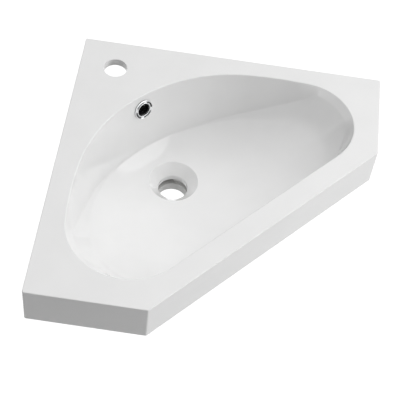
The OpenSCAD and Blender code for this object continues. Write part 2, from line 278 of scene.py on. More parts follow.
def combine(group, operation, *values):
    """One node of arithmetic over fields and plain numbers."""
    vector = any(getattr(v, "is_vector", False) for v in values)
    made = group.nodes.new("ShaderNodeVectorMath" if vector else "ShaderNodeMath")
    made.operation = operation
    slots = [made.inputs[0], made.inputs["Scale"]] if operation == "SCALE" else made.inputs
    for slot, value in zip(slots, values):
        feed(group, slot, value)
    return Field(group, made.outputs["Value" if operation in ("LENGTH", "DOT_PRODUCT") else 0])


class Tree:
    """A Geometry Nodes tree with named inputs, made node by node."""

    def __init__(self, name, sizes):
        self.group = bpy.data.node_groups.new(name, "GeometryNodeTree")
        face = self.group.interface
        self.slots = {"Geometry": face.new_socket("Geometry", in_out="INPUT",
                                                  socket_type="NodeSocketGeometry")}
        kinds = {bool: "NodeSocketBool", int: "NodeSocketInt", float: "NodeSocketFloat",
                 Vector: "NodeSocketVector"}
        for label, value in sizes.items():
            if isinstance(value, bpy.types.Object):
                kind = "NodeSocketObject"
            elif isinstance(value, bpy.types.Material):
                kind = "NodeSocketMaterial"
            else:
                kind = kinds[type(value)]
            self.slots[label] = face.new_socket(label, in_out="INPUT", socket_type=kind)
        face.new_socket("Geometry", in_out="OUTPUT", socket_type="NodeSocketGeometry")
        self.sizes = sizes
        self.entry = self.group.nodes.new("NodeGroupInput")

    def __getitem__(self, label):
        return Field(self.group, self.entry.outputs[label])

    def node(self, kind, values=None, **settings):
        made = self.group.nodes.new(kind)
        for key, value in settings.items():
            setattr(made, key, value)
        for slot, value in (values or {}).items():
            feed(self.group, made.inputs[slot], value)
        return made

    def field(self, kind, values=None, output=0, **settings):
        return Field(self.group, self.node(kind, values, **settings).outputs[output])

    def maths(self, operation, *values):
        return combine(self.group, operation, *values)

    def named(self, geometry, name, index, kind="FLOAT"):
        """The stored value of that name at one point of a geometry."""
        stored = self.field("GeometryNodeInputNamedAttribute", {"Name": name}, data_type=kind)
        return self.field("GeometryNodeSampleIndex",
                          {"Geometry": geometry, "Value": stored, "Index": index}, data_type=kind)

    def height(self, vector):
        return Field(self.group, self.node("ShaderNodeSeparateXYZ", {0: vector}).outputs[2])

    def place(self, x, y, z):
        return self.field("ShaderNodeCombineXYZ", {"X": x, "Y": y, "Z": z})

    def solid_of_rings(self, columns, rings, position):
        """A surface of columns by rings whose points go to position, with its seam closed."""
        grid = self.node("GeometryNodeMeshGrid", {"Vertices X": columns + 1, "Vertices Y": rings})
        moved = self.node("GeometryNodeSetPosition",
                          {"Geometry": grid.outputs["Mesh"], "Position": position})
        made = self.node("GeometryNodeMergeByDistance",
                         {"Geometry": moved.outputs[0], "Distance": 1e-6})
        return Field(self.group, made.outputs[0])

    def close(self, geometry):
        """Ends the tree: real geometry with its material."""
        real = self.node("GeometryNodeRealizeInstances", {"Geometry": geometry})
        dressed = self.node("GeometryNodeSetMaterial",
                            {"Geometry": real.outputs[0], "Material": self["Material"]})
        self.node("NodeGroupOutput", {"Geometry": dressed.outputs[0]})

    def run(self, obj):
        """Applies the tree to obj and leaves the result as its plain mesh."""
        used = obj.modifiers.new(self.group.name, "NODES")
        used.node_group = self.group
        for label, value in self.sizes.items():
            used[self.slots[label].identifier] = value
        return plain(obj)


# ---------------------------------------------------------------- meshes

def new_object(name, points, faces=(), edges=()):
    mesh = bpy.data.meshes.new(name)
    mesh.from_pydata([tuple(p) for p in points], list(edges), list(faces))
    made = bpy.data.objects.new(name, mesh)
    bpy.context.scene.collection.objects.link(made)
    return made


def plain(obj):
    """Turns what the modifiers show into the object's own mesh."""
    bpy.context.view_layer.update()
    graph = bpy.context.evaluated_depsgraph_get()
    mesh = bpy.data.meshes.new_from_object(obj.evaluated_get(graph), preserve_all_data_layers=True,
                                           depsgraph=graph)
    obj.modifiers.clear()
    old, obj.data = obj.data, mesh
    bpy.data.meshes.remove(old)
    return obj


def remove(*objects):
    for obj in objects:
        bpy.data.objects.remove(obj)


def points_out(obj):
    """Turns a closed mesh the right way round."""
    work = bmesh.new()
    work.from_mesh(obj.data)
    if work.calc_volume(signed=True) < 0:
        bmesh.ops.reverse_faces(work, faces=work.faces)
        work.to_mesh(obj.data)
    work.free()
    return obj


def put_at(obj, matrix):
    obj.data.transform(matrix)
    return obj


def combined(base, steps):
    """Joins or cuts base with each solid in turn and removes those solids."""
    for operation, tool in steps:
        used = base.modifiers.new(operation, "BOOLEAN")
        used.operation, used.solver, used.object = operation, "MANIFOLD", tool
    plain(base)
    remove(*{tool for _, tool in steps})
    return base


def finished(obj, sharp=32):
    """Merges doubles and gives every face its true shading, with edges over sharp left crisp."""
    work = bmesh.new()
    work.from_mesh(obj.data)
    bmesh.ops.remove_doubles(work, verts=work.verts, dist=SAME_PLACE)
    bmesh.ops.dissolve_degenerate(work, dist=SAME_PLACE, edges=work.edges)
    work.to_mesh(obj.data)
    work.free()
    obj.data.shade_smooth()
    obj.data.set_sharp_from_angle(angle=math.radians(sharp))
    weighted = obj.modifiers.new("Weighted normals", "WEIGHTED_NORMAL")
    weighted.keep_sharp = True
    weighted.weight = 80
    return plain(obj)


def quarter(radius, first, last, steps):
    """Pairs of inset and drop along an edge rounding, angles in degrees, 90 is upright."""
    turn = np.radians(np.linspace(first, last, steps))
    return list(zip(radius * (1 - np.sin(turn)), radius * (1 - np.cos(turn))))


def outline(corners, radii, inset, steps=7):
    """A convex outline moved inwards by inset, with rounded corners."""
    corners = [Vector(c) for c in corners]
    area = sum(a.x * b.y - b.x * a.y for a, b in zip(corners, corners[1:] + corners[:1]))
    if area < 0:
        corners, radii = corners[::-1], radii[::-1]
    points = []
    for i, corner in enumerate(corners):
        before = (corner - corners[i - 1]).normalized()
        after = (corners[(i + 1) % len(corners)] - corner).normalized()
        n1, n2 = Vector((-before.y, before.x)), Vector((-after.y, after.x))
        middle = corner + (n1 + n2) * radii[i] / (1 + n1.dot(n2))
        for k in range(steps):
            way = n1.slerp(n2, k / (steps - 1))
            points.append(middle - way * (radii[i] - inset))
    return points


def prism(name, corners, radii, levels, material, steps=7):
    """A closed solid over a convex outline; levels are pairs of inset and height."""
    points, size = [], len(corners) * steps
    for inset, height in levels:
        points += [(p.x, p.y, height) for p in outline(corners, radii, inset, steps)]
    faces = [(j * size + i, j * size + (i + 1) % size, (j + 1) * size + (i + 1) % size,
              (j + 1) * size + i) for j in range(len(levels) - 1) for i in range(size)]
    last = (len(levels) - 1) * size
    faces += [tuple(range(size - 1, -1, -1)), tuple(range(last, last + size))]
    made = points_out(new_object(name, points, faces))
    made.data.materials.append(material)
    return made


def upright(name, run, width, material, bevel=0.0):
    """A solid whose outline stands in the upright plane of the diagonal."""
    n, half = len(run), width / 2
    points = [(u, side, z) for side in (-half, half) for u, z in run]
    faces = [(i, (i + 1) % n, n + (i + 1) % n, n + i) for i in range(n)]
    faces += [tuple(range(n - 1, -1, -1)), tuple(range(n, 2 * n))]
    made = new_object(name, points, faces)
    made.data.materials.append(material)
    if bevel:
        used = made.modifiers.new("Bevel", "BEVEL")
        used.width, used.segments, used.limit_method = bevel, 3, "ANGLE"
        used.angle_limit = math.radians(20)
        plain(made)
    return points_out(put_at(made, DIAGONAL))


def turned(name, profile, material, place=Matrix(), steps=96, closed=False):
    """A solid turned about the local Z axis by a node tree, from pairs of radius and height."""
    line = new_object(name, [(r, 0, z) for r, z in profile])
    rings = len(profile) + (1 if closed else 0)
    tree = Tree("Turned " + name, {"Columns": steps, "Rings": rings, "Material": material})
    index = tree.field("GeometryNodeInputIndex")
    column = tree.maths("FLOOR", index / tree["Rings"])
    ring = tree.maths("FLOORED_MODULO", tree.maths("FLOORED_MODULO", index, tree["Rings"]),
                      float(len(profile)))
    turn = column * (2 * math.pi) / tree["Columns"]
    at = tree.field("GeometryNodeSampleIndex",
                    {"Geometry": tree["Geometry"],
                     "Value": tree.field("GeometryNodeInputPosition"), "Index": ring},
                    data_type="FLOAT_VECTOR")
    parts = tree.node("ShaderNodeSeparateXYZ", {0: at})
    reach, height = Field(tree.group, parts.outputs[0]), Field(tree.group, parts.outputs[2])
    position = tree.place(reach * tree.maths("COSINE", turn), reach * tree.maths("SINE", turn),
                          height)
    tree.close(tree.solid_of_rings(tree["Columns"], tree["Rings"], position))
    return points_out(put_at(tree.run(line), place))


# ---------------------------------------------------------------- the basin's own geometry

def front_edge(slab):
    """Two ends of the slab's front edge, its inward normal and its tilt from the diagonal."""
    a = Vector((slab.right_side, -slab.right_end))
    b = Vector((slab.left_end, -slab.left_side))
    along = (b - a).normalized()
    inward = Vector((along.y, -along.x))
    tilt = -math.atan2(inward.x + inward.y, inward.y - inward.x)
    return a, b, inward, tilt


def rim_stations(slab, bowl, back_steps=50, side_steps=26, corner_steps=52, front_steps=108):
    """Points on the edge of the bowl: place, inward direction and how far along the bowl each lies.

    The edge is a row of arcs that touch each other: back, side and corner on each half, and a
    straight front. Places are along and across the room's diagonal until the last step.
    """
    a, _, _, tilt = front_edge(slab)
    reach = ((a.x - a.y) * math.cos(tilt) + (a.x + a.y) * math.sin(tilt)) / math.sqrt(2)
    front = reach - bowl.front_gap - bowl.shift * math.sin(tilt)
    r1, r2 = bowl.back_radius, bowl.side_radius
    turn = (math.sqrt(2) * (bowl.side_gap + r2) - r1 - bowl.back) / (r2 - r1)
    f1 = math.pi / 4 - math.acos(turn / math.sqrt(2))
    f2 = math.pi / 2 - f1 + bowl.side_overrun
    end_u = bowl.back + r1 * (1 - math.cos(f1)) + r2 * (math.cos(f1) - math.cos(f2))
    end_v = r1 * math.sin(f1) + r2 * (math.sin(f2) - math.sin(f1))

    def half(s):
        r3 = ((front - end_u * math.cos(tilt) - s * end_v * math.sin(tilt))
              / (1 + math.cos(f2 + s * tilt)))
        u3, v3 = end_u + r3 * math.cos(f2), end_v - r3 * math.sin(f2)
        rows = []
        for f in np.linspace(0, f1, back_steps, endpoint=False):
            rows.append((bowl.back + r1 * (1 - math.cos(f)), r1 * math.sin(f), f))
        for f in np.linspace(f1, f2, side_steps, endpoint=False):
            rows.append((end_u - r2 * (math.cos(f) - math.cos(f2)),
                         end_v - r2 * (math.sin(f2) - math.sin(f)), f))
        for f in np.linspace(f2, math.pi - s * tilt, corner_steps + 1):
            rows.append((u3 - r3 * math.cos(f), v3 + r3 * math.sin(f), f))
        end = v3 + r3 - bowl.foot_stop
        return np.array([(u, s * v, math.cos(f), -s * math.sin(f), v / end) for u, v, f in rows])

    right, left = half(1), half(-1)
    share = np.linspace(0, 1, front_steps + 1)[1:-1, None]
    straight = right[-1] * (1 - share) + left[-1] * share
    straight[:, 4] = np.where(straight[:, 1] > 0, straight[:, 1] * right[-1][4] / right[-1][1],
                              straight[:, 1] * left[-1][4] / left[-1][1])
    rows = np.vstack([right, straight, left[:0:-1]])
    u, v = rows[:, 0], rows[:, 1] + bowl.shift
    place = np.column_stack([(u + v), (v - u), 0 * u]) / math.sqrt(2)
    inward = np.column_stack([(rows[:, 2] + rows[:, 3]), (rows[:, 3] - rows[:, 2]), 0 * u])
    return place, inward / math.sqrt(2), np.minimum(rows[:, 4], 1)


def store(obj, **values):
    """Stores a number or vector for each point of a mesh under its own name."""
    for name, rows in values.items():
        rows = np.asarray(rows, float)
        kind, key = ("FLOAT_VECTOR", "vector") if rows.ndim == 2 else ("FLOAT", "value")
        obj.data.attributes.new(name, kind, "POINT").data.foreach_set(key, rows.ravel())


def bowl_solid(name, settings, rings, material):
    """The bowl, or the outside of its shell, as a closed solid made by a node tree.

    Each ring is (part, share, reach, drop, out, down). The part says which rule places the ring:
    OUTLET rings have a radius and a drop, FLOOR rings rise from the outlet to the foot of the wall,
    WALL rings go up to the rim, RIM rings turn on to the deck, COLUMN rings have a reach beyond the
    rim and a drop. Out and down are parts of the shell's thickness.
    """
    slab, bowl, outlet = settings.slab, settings.bowl, settings.outlet
    place, inward, along = rim_stations(slab, bowl)
    loop = new_object(name, place, edges=[(i - 1, i) for i in range(1, len(place))]
                      + [(len(place) - 1, 0)])
    store(loop, inward=inward, along=along)
    table = new_object(name + " rings", [(0, 0, i) for i in range(len(rings))])
    columns = np.array(rings, float).T
    store(table, part=columns[0], share=columns[1], reach=columns[2], drop=columns[3],
          out=columns[4], down=columns[5])
    middle = DIAGONAL @ Vector((outlet.reach, 0, 0))
    tree = Tree(name, {
        "Rings": table, "Ring count": len(rings), "Columns": len(place),
        "Outlet": middle, "Disc radius": outlet.seat_r + outlet.edge_r, "Depth": bowl.depth,
        "Wall depth": bowl.depth - bowl.foot_rise, "Foot inset": bowl.foot_inset,
        "Wall slope": bowl.wall_slope, "Foot power": bowl.foot_power,
        "Foot at the ends": bowl.foot_end, "Foot reach": bowl.foot_reach,
        "Floor power": bowl.floor_power, "End drop": bowl.end_drop,
        "End slope": bowl.end_slope, "End blend": bowl.end_blend,
        "Soft steps": bowl.soft_steps, "Rim radius": bowl.rim_r, "Crease": bowl.crease,
        "Shell thickness": bowl.shell_t, "Material": material})
    index = tree.field("GeometryNodeInputIndex")
    column = tree.maths("FLOORED_MODULO", tree.maths("FLOOR", index / tree["Ring count"]),
                        tree["Columns"])
    ring = tree.maths("FLOORED_MODULO", index, tree["Ring count"])
    rules = tree.field("GeometryNodeObjectInfo", {"Object": tree["Rings"]}, "Geometry")
    part, share, reach, drop, out, down = (
        tree.named(rules, key, ring) for key in ("part", "share", "reach", "drop", "out", "down"))
    edge = tree.field("GeometryNodeSampleIndex",
                      {"Geometry": tree["Geometry"],
                       "Value": tree.field("GeometryNodeInputPosition"), "Index": column},
                      data_type="FLOAT_VECTOR")
    inwards = tree.named(tree["Geometry"], "inward", column, "FLOAT_VECTOR")
    length_along = tree.named(tree["Geometry"], "along", column)
    up = tree.place(0, 0, 1.0)

    def foot_of(edge, inwards, along):
        """Foot of the wall at a station, its inset and its depth."""
        held = (1 - along ** tree["Foot reach"]) ** tree["Foot power"]
        deep = tree["Foot at the ends"] + (tree["Wall depth"] - tree["Foot at the ends"]) * held
        inset = tree["Foot inset"] + tree["Wall slope"] * deep
        return edge + inwards * inset - up * deep, inset, deep

    foot, foot_in, foot_z = foot_of(edge, inwards, length_along)
    # an evened-out copy of the foot, from which the floor starts
    own = {key: tree.field("GeometryNodeInputNamedAttribute", {"Name": key}, data_type=kind)
           for key, kind in (("inward", "FLOAT_VECTOR"), ("along", "FLOAT"))}
    here = foot_of(tree.field("GeometryNodeInputPosition"), own["inward"], own["along"])[0]
    even = tree.field("GeometryNodeBlurAttribute",
                      {"Value": here, "Iterations": tree["Soft steps"]}, data_type="FLOAT_VECTOR")
    soft = tree.field("GeometryNodeSampleIndex",
                      {"Geometry": tree["Geometry"], "Value": even, "Index": column},
                      data_type="FLOAT_VECTOR")
    spoke = soft * tree.place(1.0, 1.0, 0) - tree["Outlet"]
    spoke_length = tree.maths("LENGTH", spoke)
    spoke_way = spoke * (1 / spoke_length)
    # floor: level at the outlet, rising to the foot, with a steep zone inside each end
    ends = length_along ** END_POWER
    end_drop = tree["End drop"] * ends
    rise = tree["Depth"] + tree.height(soft)
    run = spoke_length - tree["Disc radius"]
    inner = (rise - end_drop) * share ** tree["Floor power"] - tree["Depth"]
    steep = tree.height(soft) - tree["End slope"] * run * (1 - share)
    level = tree.maths("SMOOTH_MAX", inner, steep, tree["End blend"] * ends)
    floor_at = (tree["Outlet"] + spoke_way * (tree["Disc radius"] + run * share) + up * level
                + (foot - soft) * share ** FOOT_PULL)
    inner_slope = (rise - end_drop) * tree["Floor power"] / run
    steepness = tree.maths("MINIMUM", end_drop / STEEP_FROM, 1)
    slope = inner_slope + (tree["End slope"] - inner_slope) * steepness
    floor_way = tree.maths("NORMALIZE", (spoke_way + up * slope) * run + (foot - soft) * FOOT_PULL)
    # wall, and the rounding on to the deck that begins in line with it
    rim_r = tree["Rim radius"]
    lean = tree.maths("ARCTAN2", foot_in, foot_z - rim_r)
    wall_top = (edge - inwards * (rim_r * (1 - tree.maths("COSINE", lean)))
                - up * (rim_r * (1 - tree.maths("SINE", lean))))
    wall_at = foot + (wall_top - foot) * share
    wall_way = tree.maths("NORMALIZE", wall_top - foot)
    turn = (math.pi / 2 - lean) * (1 - share) + RIM_END * share
    rim_at = (edge - inwards * (rim_r * (1 - tree.maths("SINE", turn)))
              - up * (rim_r * (1 - tree.maths("COSINE", turn))))
    bend = wall_way - floor_way

    def eased(at):
        """Rounds the crease at the foot of the wall."""
        near = tree.maths("MAXIMUM", tree["Crease"] - tree.maths("LENGTH", at - foot), 0)
        return at + bend * (near * near / (tree["Crease"] * 4))

    places = {
        OUTLET: tree["Outlet"] + spoke_way * reach - up * drop,
        FLOOR: eased(floor_at),
        WALL: eased(wall_at),
        RIM: rim_at,
        COLUMN: edge - inwards * reach - up * drop,
    }
    choice = tree.node("GeometryNodeIndexSwitch", {"Index": part}, data_type="VECTOR")
    while len(choice.index_switch_items) < len(places):
        choice.index_switch_items.new()
    for key, value in places.items():
        feed(tree.group, choice.inputs[str(key)], value)
    position = Field(tree.group, choice.outputs[0])
    thick = tree["Shell thickness"]
    position = position - inwards * (thick * out) - up * (thick * down)
    tree.close(tree.solid_of_rings(tree["Columns"], tree["Ring count"], position))
    tree.run(loop)
    remove(table)
    return points_out(loop)


def bowl_rings(settings):
    """The rings of the bowl's inner face, from under the outlet to above the deck."""
    bowl, outlet = settings.bowl, settings.outlet
    e, top = outlet.edge_r, bowl.depth + outlet.seat_h
    lean = math.atan2(outlet.seat_r - outlet.bore_r, outlet.seat_h)
    below = top + outlet.lip_h + OVER
    rings = [(OUTLET, 0, 0, below, 0, 0), (OUTLET, 0, outlet.bore_r, below, 0, 0)]
    # edge between bore and seat, then the seat, then the edge between seat and floor
    start = e * math.tan(lean / 2)
    for f in np.linspace(0, lean, 4):
        rings.append((OUTLET, 0, outlet.bore_r + e * (1 - math.cos(f)),
                      top + start - e * math.sin(f), 0, 0))
    reach_1, drop_1 = rings[-1][2], rings[-1][3]
    wide = e / math.tan((math.pi / 2 + lean) / 2)
    reach_2 = outlet.seat_r - wide * math.sin(lean)
    drop_2 = bowl.depth + wide * math.cos(lean)
    for share in (0.1, 0.35, 0.65, 0.9):
        rings.append((OUTLET, 0, reach_1 + (reach_2 - reach_1) * share,
                      drop_1 + (drop_2 - drop_1) * share, 0, 0))
    hub_r, hub_z = outlet.seat_r + wide, bowl.depth + e
    for f in np.linspace(lean, math.pi / 2, 6):
        rings.append((OUTLET, 0, hub_r - e * math.cos(f), hub_z - e * math.sin(f), 0, 0))
    for k in range(FLOOR_RINGS - 1, -1, -1):
        rings.append((FLOOR, 1 - (k / FLOOR_RINGS) ** FLOOR_CROWDING, 0, 0, 0, 0))
    for k in range(1, WALL_RINGS + 1):
        rings.append((WALL, (k / WALL_RINGS) ** WALL_CROWDING, 0, 0, 0, 0))
    for share in np.linspace(0, 1, 8)[1:]:
        rings.append((RIM, share, 0, 0, 0, 0))
    beyond = bowl.rim_r * (1 - math.sin(RIM_END)) + OVER * math.cos(RIM_END)
    rise = OVER * math.sin(RIM_END) - bowl.rim_r * (1 - math.cos(RIM_END))
    high = 20 * OVER
    return rings + [(COLUMN, 0, beyond, -rise, 0, 0), (COLUMN, 0, beyond, -high, 0, 0),
                    (OUTLET, 0, 0, -high, 0, 0)]


def shell_rings(settings):
    """The rings of the outside of the bowl's shell, which ends inside the deck."""
    slab, bowl = settings.slab, settings.bowl
    rings = [(OUTLET, 0, 0, bowl.depth, 0, 1)]
    for share in np.linspace(0, 1, 20):
        rings.append((FLOOR, share, 0, 0, share / 2 + share ** 6 / 2, 1 - 0.4 * share ** 6))
    for share in (0.06, 0.14, 0.24, 0.36, 0.5, 0.65):
        rings.append((WALL, share, 0, 0, 1, max(0, 0.6 - 1.2 * share)))
    level = slab.deck_t / 2
    return rings + [(COLUMN, 0, 0, level, 1, 0), (OUTLET, 0, 0, level, 0, 0)]


def overflow_place(settings):
    """Where the overflow sits: its local Z axis points out of the wall into the bowl."""
    bowl, over = settings.bowl, settings.overflow
    deep = bowl.depth - bowl.foot_rise
    lean = math.atan((bowl.foot_inset + bowl.wall_slope * deep) / deep)
    reach = bowl.back + over.drop * math.tan(lean)
    return reach, lean, (DIAGONAL @ Matrix.Translation((reach, 0, -over.drop))
                         @ Matrix.Rotation(math.pi / 2 - lean, 4, "Y"))


def outlet_place(settings):
    return DIAGONAL @ Matrix.Translation((settings.outlet.reach, 0, 0))


def seat_run(settings):
    """The line on which the duct sits on the casting, as pairs along the diagonal and up."""
    slab, bowl, outlet, over = settings.slab, settings.bowl, settings.outlet, settings.overflow
    reach, lean, _ = overflow_place(settings)
    thick = bowl.shell_t + settings.duct.spine_extra
    bend = bowl.depth - bowl.foot_rise + bowl.shell_t
    seat = bowl.depth + outlet.seat_h + outlet.lip_h

    def back(z):
        return reach - thick / math.cos(lean) + (z - over.drop) * math.tan(lean)

    return thick, back, [Vector((back(slab.deck_t), -slab.deck_t)), Vector((back(bend), -bend)),
                         Vector((outlet.reach - outlet.boss_r, -seat)),
                         Vector((outlet.reach, -seat))]


def moved_run(run, distance):
    """A run of points moved sideways with mitred corners."""
    def normal(a, b):
        way = (b - a).normalized()
        return Vector((way.y, -way.x))

    out = []
    for i, point in enumerate(run):
        n1 = normal(run[max(i - 1, 0)], run[max(i, 1)])
        n2 = normal(run[min(i, len(run) - 2)], run[min(i + 1, len(run) - 1)])
        out.append(point + (n1 + n2) * distance / (1 + n1.dot(n2)))
    return out


# ---------------------------------------------------------------- materials

class Paint:
    """A node material with one Principled shader and helpers for what drives it."""

    def __init__(self, name, base, roughness, **sockets):
        self.material = bpy.data.materials.new(name)
        self.material.use_nodes = True
        self.tree = self.material.node_tree
        self.shader = self.tree.nodes["Principled BSDF"]
        self.coordinates = self.tree.nodes.new("ShaderNodeTexCoord").outputs["Object"]
        self.shader.inputs["Base Color"].default_value = (*base, 1)
        self.shader.inputs["Roughness"].default_value = roughness
        for key, value in sockets.items():
            self.shader.inputs[key.replace("_", " ")].default_value = value

    def node(self, kind, values=None, **settings):
        made = self.tree.nodes.new(kind)
        for key, value in settings.items():
            setattr(made, key, value)
        for slot, value in (values or {}).items():
            feed(self.tree, made.inputs[slot], value)
        return made

    def noise(self, scale, detail=3.0, roughness=0.5):
        return self.node("ShaderNodeTexNoise", {
            "Vector": self.coordinates, "Scale": scale, "Detail": detail,
            "Roughness": roughness}).outputs[0]

    def spread(self, value, low, high, from_low=0.3, from_high=0.7):
        return self.node("ShaderNodeMapRange", {0: value, 1: from_low, 2: from_high, 3: low,
                                                4: high}).outputs[0]

    def tint(self, value, first, second, from_low=0.35, from_high=0.65):
        made = self.node("ShaderNodeMix", data_type="RGBA")
        feed(self.tree, made.inputs[0], self.spread(value, 0.0, 1.0, from_low, from_high))
        made.inputs[6].default_value = (*first, 1)
        made.inputs[7].default_value = (*second, 1)
        feed(self.tree, self.shader.inputs["Base Color"], made.outputs[2])

    def rough(self, value, low, high):
        feed(self.tree, self.shader.inputs["Roughness"], self.spread(value, low, high))

    def bumps(self, *layers):
        """Each layer is (height field, distance in metres, strength)."""
        normal = None
        for height, distance, strength in layers:
            made = self.node("ShaderNodeBump", {"Height": height, "Distance": distance,
                                                "Strength": strength})
            if normal is not None:
                feed(self.tree, made.inputs["Normal"], normal)
            normal = made.outputs[0]
        feed(self.tree, self.shader.inputs["Normal"], normal)


def shaded(base, by):
    return tuple(max(0.0, min(1.0, c * by)) for c in base)


def glaze_paint(finish):
    paint = Paint("White gelcoat", finish.glaze, 0.1, IOR=1.5, Coat_Weight=0.25,
                  Coat_Roughness=0.04)
    cloudy = paint.noise(14.0, 4.0)
    paint.tint(cloudy, shaded(finish.glaze, 0.985), shaded(finish.glaze, 1.01))
    paint.rough(paint.noise(55.0, 3.0), 0.085, 0.125)
    paint.bumps((paint.noise(22.0, 1.0), 0.0004, 0.12), (paint.noise(420.0, 2.0), 0.00004, 0.12))
    return paint.material


def casting_paint(finish):
    paint = Paint("Raw cast mineral", finish.casting, 0.75)
    grains = paint.node("ShaderNodeTexVoronoi", {"Vector": paint.coordinates, "Scale": 520.0})
    paint.tint(paint.noise(38.0, 6.0, 0.6), shaded(finish.casting, 0.9),
               shaded(finish.casting, 1.08))
    paint.rough(paint.noise(160.0, 4.0), 0.62, 0.85)
    paint.bumps((paint.noise(70.0, 5.0, 0.65), 0.0006, 0.5), (grains.outputs[0], 0.00015, 0.5))
    return paint.material


def duct_paint(finish):
    paint = Paint("Moulded plastic", finish.duct, 0.45, IOR=1.46)
    paint.tint(paint.noise(30.0, 3.0), shaded(finish.duct, 0.96), shaded(finish.duct, 1.03))
    paint.rough(paint.noise(90.0, 3.0), 0.38, 0.5)
    paint.bumps((paint.noise(900.0, 2.0), 0.00005, 0.35), (paint.noise(40.0, 1.0), 0.0002, 0.15))
    return paint.material


def chrome_paint(finish):
    paint = Paint("Polished chrome", finish.chrome, 0.06, Metallic=1.0)
    paint.tint(paint.noise(300.0, 3.0), shaded(finish.chrome, 0.96), shaded(finish.chrome, 1.04))
    paint.rough(paint.noise(700.0, 4.0), 0.04, 0.1)
    paint.bumps((paint.noise(260.0, 2.0), 0.00002, 0.3),)
    return paint.material


def sleeve_paint(finish):
    paint = Paint("Black gloss plastic", finish.sleeve, 0.14, IOR=1.5)
    paint.tint(paint.noise(200.0, 3.0), finish.sleeve, shaded(finish.sleeve, 1.8))
    paint.rough(paint.noise(500.0, 3.0), 0.1, 0.2)
    paint.bumps((paint.noise(600.0, 2.0), 0.00003, 0.3),)
    return paint.material


def seal_paint(finish):
    # dark rubber; its edge under the flange is also painted shade, the thin shadow line round the ring
    paint = Paint("Soft rubber and painted shadow line", finish.seal, 0.7)
    paint.tint(paint.noise(400.0, 3.0), shaded(finish.seal, 0.85), shaded(finish.seal, 1.15))
    paint.rough(paint.noise(800.0, 3.0), 0.6, 0.8)
    paint.bumps((paint.noise(1500.0, 3.0), 0.00004, 0.5),)
    return paint.material


# ---------------------------------------------------------------- pieces

def slab_solid(settings, skin, raw):
    """Deck with apron and wall rails, hollow underneath, with a block at each fixing hole."""
    slab = settings.slab
    a, b, inward, _ = front_edge(slab)
    e, c = slab.edge_r, slab.corner_r
    corners = [(0, 0), (slab.right_side, 0), a, b, (0, -slab.left_side)]
    rounding = [(i, -slab.apron_h + d) for i, d in quarter(e, 0, 90, 5)]
    rounding += [(i, -d) for i, d in quarter(e, 90, 0, 6)]
    body = prism("casting", corners, [c / 2, c, c, c, c], rounding, skin)
    body.data.materials.append(raw)
    inner_x, inner_y = slab.right_side - slab.apron_t, -(slab.left_side - slab.apron_t)
    front_right = (inner_x, a.y + (slab.apron_t - (inner_x - a.x) * inward.x) / inward.y)
    front_left = (a.x + (slab.apron_t - (inner_y - a.y) * inward.y) / inward.x, inner_y)
    m, low = slab.mould_r, -slab.apron_h - OVER
    ceiling = [(0, low)] + [(i, -slab.deck_t - d) for i, d in quarter(m / 2, 90, 0, 5)]
    hollow = prism("hollow", [(slab.rail_t, -slab.rail_t), (inner_x, -slab.rail_t), front_right,
                              front_left, (slab.rail_t, inner_y)], [m] * 5, ceiling, raw)
    below = prism("below rails", [(-OVER, OVER), (inner_x, OVER), front_right, front_left,
                                  (-OVER, inner_y)], [OVER / 4, OVER / 4, m, m, OVER / 4],
                  [(0, low), (0, -slab.rail_h)], raw)
    steps = [("DIFFERENCE", hollow), ("DIFFERENCE", below)]
    near, far = slab.fixing_reach - slab.block_w / 2, slab.fixing_reach + slab.block_w / 2
    tiny = OVER / 5
    for plan in ([(near, 0), (far, 0), (far, -slab.block_t), (near, -slab.block_t)],
                 [(0, -near), (0, -far), (slab.block_t, -far), (slab.block_t, -near)]):
        block = prism("block", plan, [tiny, tiny, m / 2, m / 2],
                      [(0, -slab.apron_h), (0, -slab.deck_t / 2)], raw)
        steps.append(("UNION", block))
    return combined(body, steps)


def fixing_cutters(settings, material):
    slab = settings.slab
    r, e = slab.fixing_r, slab.edge_r / 2
    profile = [(0, -OVER), (r + e + OVER, -OVER), (r + e, 0), (r, e), (r, slab.block_t - e),
               (r + e, slab.block_t), (r + e + OVER, slab.block_t + OVER), (0, slab.block_t + OVER)]
    right = Matrix.Translation((slab.fixing_reach, 0, -slab.fixing_drop)) @ Matrix.Rotation(
        math.pi / 2, 4, "X")
    left = Matrix.Translation((0, -slab.fixing_reach, -slab.fixing_drop)) @ Matrix.Rotation(
        math.pi / 2, 4, "Y")
    return [turned("fixing hole", profile, material, place, 64) for place in (right, left)]


def tap_cutter(settings, material):
    slab = settings.slab
    r, e = slab.tap_r, slab.tap_edge_r
    turn = TAP_EDGE_END
    bottom = -slab.deck_t
    profile = [(0, bottom - OVER), (r + e / 2 + OVER, bottom - OVER), (r + e / 2, bottom),
               (r, bottom + e / 2)]
    profile += [(r + i, -d) for i, d in quarter(e, 90, math.degrees(turn), 6)]
    last_r, last_z = profile[-1]
    profile += [(last_r + OVER * math.cos(turn), last_z + OVER * math.sin(turn)),
                (last_r + OVER, 5 * OVER), (0, 5 * OVER)]
    place = Matrix.Translation((slab.tap_x, -slab.tap_y, 0))
    return turned("tap hole", profile, material, place, 128)


def overflow_cutter(settings, material):
    """Hole through the wall and the flat land on which the ring's seal lies."""
    over = settings.overflow
    r, land = over.hole_r, over.flange_r + FIT_GAP
    deep, high, e = 0.03, 0.014, 0.0004
    profile = [(0, -deep), (r, -deep), (r, -e), (r + e, 0), (land, 0), (land, high), (0, high)]
    return turned("overflow hole", profile, material, overflow_place(settings)[2], 96)


def boss_solid(settings, material):
    outlet, bowl = settings.outlet, settings.bowl
    low = -(bowl.depth + outlet.seat_h + outlet.lip_h)
    r, e = outlet.boss_r, 0.002
    profile = [(0, -bowl.depth), (r, -bowl.depth)]
    profile += [(r - i, low + d) for i, d in quarter(e, 90, 0, 5)]
    return turned("boss", profile + [(0, low)], material, outlet_place(settings), 128)


